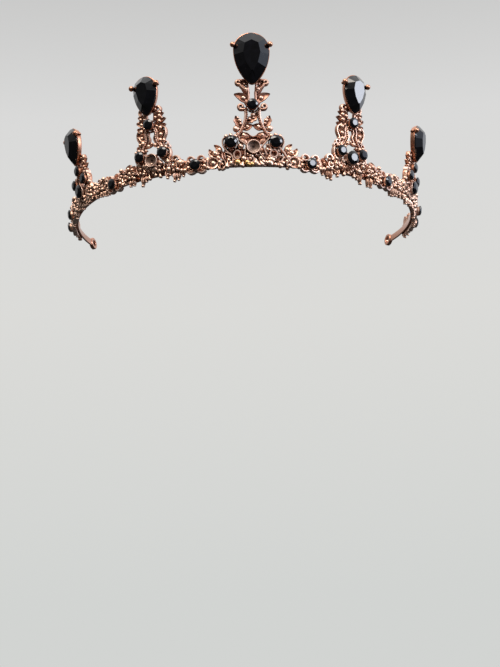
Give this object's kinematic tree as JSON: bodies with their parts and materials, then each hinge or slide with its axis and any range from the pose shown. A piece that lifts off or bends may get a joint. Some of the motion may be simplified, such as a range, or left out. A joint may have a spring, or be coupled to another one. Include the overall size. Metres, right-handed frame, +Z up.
{
  "type": "crown",
  "caption": "Open-backed tiara crown of copper filigree with pear-stone spires, black round stones between them and an eye at each end of its band.",
  "frame": {"origin": "centre of the band's circle, on the plane that the lowest leaf tips rest on", "axes": "+Z up, -Y towards the front spire, +X to the right as seen from the front"},
  "size_m": [0.1524, 0.1128, 0.0548],
  "materials": {
    "copper": "antique copper, dark in the recesses and rubbed bright on the high points",
    "polished_copper": "smooth pale rose copper",
    "black_glass": "polished black, faceted"
  },
  "bodies": {
    "root": {"base_band": "polished_copper", "centre_spire": "copper", "left_inner_spire": "copper", "right_inner_spire": "copper", "left_outer_spire": "copper", "right_outer_spire": "copper", "centre_pear_setting": "polished_copper", "left_inner_pear_setting": "polished_copper", "right_inner_pear_setting": "polished_copper", "left_outer_pear_setting": "polished_copper", "right_outer_pear_setting": "polished_copper", "centre_pear_stone": "black_glass", "left_inner_pear_stone": "black_glass", "right_inner_pear_stone": "black_glass", "left_outer_pear_stone": "black_glass", "right_outer_pear_stone": "black_glass", "centre_neck_stone": "black_glass", "left_inner_neck_stone": "black_glass", "right_inner_neck_stone": "black_glass", "left_outer_neck_stone": "black_glass", "right_outer_neck_stone": "black_glass", "centre_left_stone": "black_glass", "left_inner_left_stone": "black_glass", "right_inner_left_stone": "black_glass", "left_outer_left_stone": "black_glass", "right_outer_left_stone": "black_glass", "centre_right_stone": "black_glass", "left_inner_right_stone": "black_glass", "right_inner_right_stone": "black_glass", "left_outer_right_stone": "black_glass", "right_outer_right_stone": "black_glass", "centre_cup": "polished_copper", "left_inner_cup": "polished_copper", "right_inner_cup": "polished_copper", "left_outer_cup": "polished_copper", "right_outer_cup": "polished_copper", "right_inner_big_stone": "black_glass", "left_outer_big_stone": "black_glass", "right_outer_big_stone": "black_glass", "left_front_garland": "copper", "right_front_garland": "copper", "left_side_garland": "copper", "right_side_garland": "copper", "left_rear_garland": "copper", "right_rear_garland": "copper", "left_end_garland": "copper", "right_end_garland": "copper", "left_front_stone": "black_glass", "right_front_stone": "black_glass", "left_side_stone": "black_glass", "right_side_stone": "black_glass", "left_rear_stone": "black_glass", "right_rear_stone": "black_glass", "left_end_stone": "black_glass", "right_end_stone": "black_glass"}
  },
  "joints": []
}
